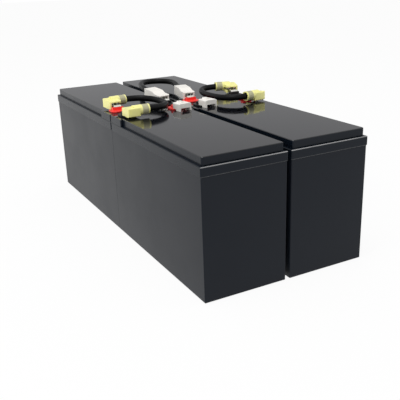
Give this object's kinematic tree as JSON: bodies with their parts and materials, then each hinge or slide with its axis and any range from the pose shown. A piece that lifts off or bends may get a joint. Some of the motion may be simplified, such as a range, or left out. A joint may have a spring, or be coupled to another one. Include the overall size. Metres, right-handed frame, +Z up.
{
  "type": "ups battery cartridge",
  "caption": "Block of sealed lead-acid batteries bonded in rows and joined in series by short insulated leads, for an uninterruptible power supply.",
  "frame": {"origin": "middle of the pack's underside, where it rests", "axes": "+X to the right across the rows, +Y to the back along the rows, +Z up"},
  "size_m": [0.1326, 0.3022, 0.1103],
  "materials": {
    "case_plastic": "satin moulded black",
    "cover_plastic": "polished black",
    "lid_plastic": "satin moulded black",
    "plate_lead": "dull lead and paste",
    "cast_lead": "cast lead",
    "vent_rubber": "matt rubber",
    "positive_red": "semi-gloss red",
    "negative_black": "semi-gloss black",
    "tinned_brass": "bright tin plate",
    "yellow_nylon": "translucent pale yellow",
    "white_nylon": "semi-gloss white",
    "lead_insulation": "soft satin black",
    "foam_tape": "matt foam"
  },
  "bodies": {
    "root": {"front_left_case": "case_plastic", "front_left_cover": "cover_plastic", "front_left_lid": "lid_plastic", "front_left_negative_base": "negative_black", "front_left_negative_tab": "tinned_brass", "front_left_plate_groups": "plate_lead", "front_left_positive_base": "positive_red", "front_left_positive_tab": "tinned_brass", "front_left_straps": "cast_lead", "front_left_vent_caps": "vent_rubber", "front_right_case": "case_plastic", "front_right_cover": "cover_plastic", "front_right_lid": "lid_plastic", "front_right_negative_base": "negative_black", "front_right_negative_tab": "tinned_brass", "front_right_plate_groups": "plate_lead", "front_right_positive_base": "positive_red", "front_right_positive_tab": "tinned_brass", "front_right_straps": "cast_lead", "front_right_vent_caps": "vent_rubber", "joint_tape": "foam_tape", "left_lead_front_housing": "yellow_nylon", "left_lead_front_receptacle": "tinned_brass", "left_lead_rear_housing": "yellow_nylon", "left_lead_rear_receptacle": "tinned_brass", "left_lead_wire": "lead_insulation", "negative_end_cap": "white_nylon", "positive_end_cap": "white_nylon", "rear_lead_left_housing": "white_nylon", "rear_lead_left_receptacle": "tinned_brass", "rear_lead_right_housing": "white_nylon", "rear_lead_right_receptacle": "tinned_brass", "rear_lead_wire": "lead_insulation", "rear_left_case": "case_plastic", "rear_left_cover": "cover_plastic", "rear_left_lid": "lid_plastic", "rear_left_negative_base": "negative_black", "rear_left_negative_tab": "tinned_brass", "rear_left_plate_groups": "plate_lead", "rear_left_positive_base": "positive_red", "rear_left_positive_tab": "tinned_brass", "rear_left_straps": "cast_lead", "rear_left_vent_caps": "vent_rubber", "rear_right_case": "case_plastic", "rear_right_cover": "cover_plastic", "rear_right_lid": "lid_plastic", "rear_right_negative_base": "negative_black", "rear_right_negative_tab": "tinned_brass", "rear_right_plate_groups": "plate_lead", "rear_right_positive_base": "positive_red", "rear_right_positive_tab": "tinned_brass", "rear_right_straps": "cast_lead", "rear_right_vent_caps": "vent_rubber", "right_lead_front_housing": "yellow_nylon", "right_lead_front_receptacle": "tinned_brass", "right_lead_rear_housing": "yellow_nylon", "right_lead_rear_receptacle": "tinned_brass", "right_lead_wire": "lead_insulation", "row_tape": "foam_tape"}
  },
  "joints": []
}
